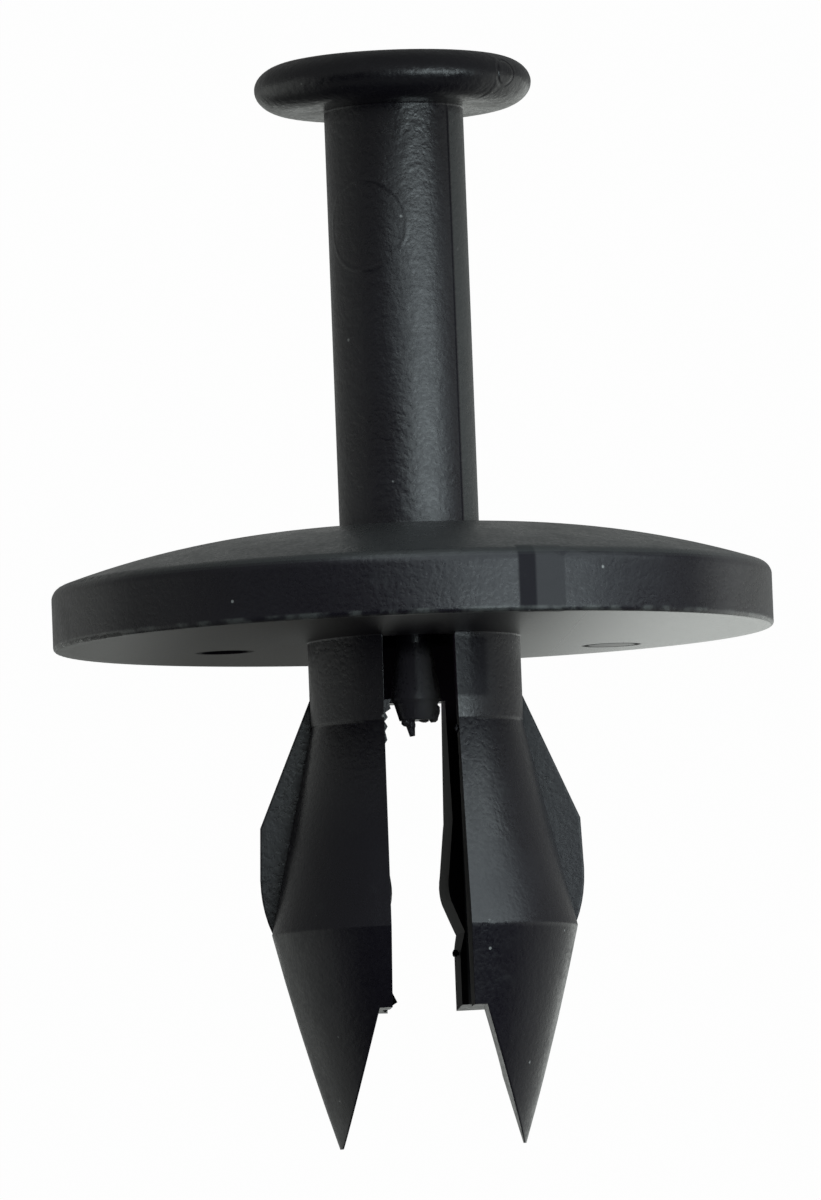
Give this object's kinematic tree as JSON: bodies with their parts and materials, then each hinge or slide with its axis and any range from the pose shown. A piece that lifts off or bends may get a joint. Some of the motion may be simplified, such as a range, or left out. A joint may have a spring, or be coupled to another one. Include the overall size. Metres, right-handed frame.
{
  "type": "plastic push rivet",
  "caption": "Push rivet of black plastic: a wide domed flange on four barbed legs, two of them long and pointed, with a headed pin that is pushed in to lock them.",
  "frame": {"origin": "centre of the flat top of the pin's head, on which the rivet stands", "axes": "+Z along the rivet's axis from the pin's head to the tips of the legs; the slot between left and right legs runs along Y; the two long legs are on the -Y side"},
  "size_m": [0.0271, 0.027, 0.0409],
  "materials": {
    "retainer_plastic": "black nylon, satin, lightly grained",
    "pin_plastic": "black nylon, satin, lightly grained"
  },
  "bodies": {
    "retainer_body": {"retainer": "retainer_plastic"},
    "pin_body": {"pin": "pin_plastic"}
  },
  "joints": [
    {"name": "pin_push", "type": "slide", "parent": "retainer_body", "child": "pin_body", "axis": [0, 0, 1], "range_m": [0, 0.01588]}
  ]
}
